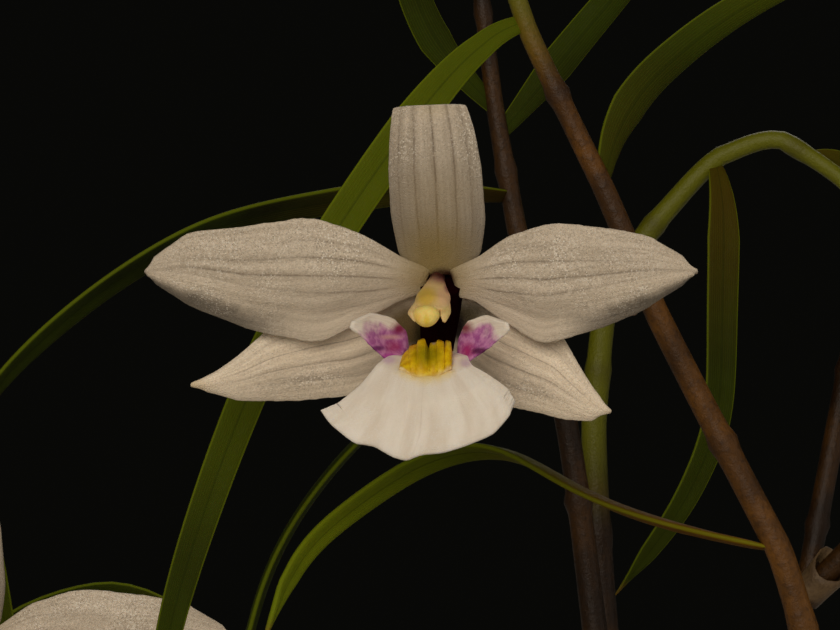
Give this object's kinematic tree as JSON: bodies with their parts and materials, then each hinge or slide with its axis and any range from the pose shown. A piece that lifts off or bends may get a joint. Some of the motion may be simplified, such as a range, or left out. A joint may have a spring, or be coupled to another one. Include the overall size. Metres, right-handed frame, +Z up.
{
  "type": "potted dendrobium cunninghamii orchid",
  "caption": "Potted orchid: thin branching canes with narrow grass-like leaves and small white flowers with a magenta and yellow lip, in bark mix in a plain clay pot.",
  "frame": {"origin": "centre of the pot's flat underside", "axes": "+Z up along the pot's axis; -Y is the plant's front, which the front flower faces; +X to the right seen from the front"},
  "size_m": [0.2064, 0.1635, 0.2552],
  "materials": {
    "terracotta": "matte",
    "bark": "matte",
    "leaf": "satin",
    "petal": "satin",
    "lip": "satin",
    "bud": "satin"
  },
  "bodies": {
    "root": {"pot": "terracotta", "bark_mix": "bark", "cane_1": "leaf", "cane_2": "leaf", "cane_3": "leaf", "cane_4": "leaf", "cane_5": "leaf", "cane_6": "leaf", "cane_7": "leaf", "cane_8": "leaf", "cane_9": "leaf", "cane_10": "leaf", "flower_1": "petal", "flower_1_lip": "lip", "flower_2": "petal", "flower_2_lip": "lip", "flower_3": "petal", "flower_3_lip": "lip", "flower_4": "petal", "flower_4_lip": "lip", "flower_5": "petal", "flower_5_lip": "lip", "flower_6": "petal", "flower_6_lip": "lip", "bud_1": "bud", "bud_2": "bud", "bud_3": "bud"}
  },
  "joints": []
}
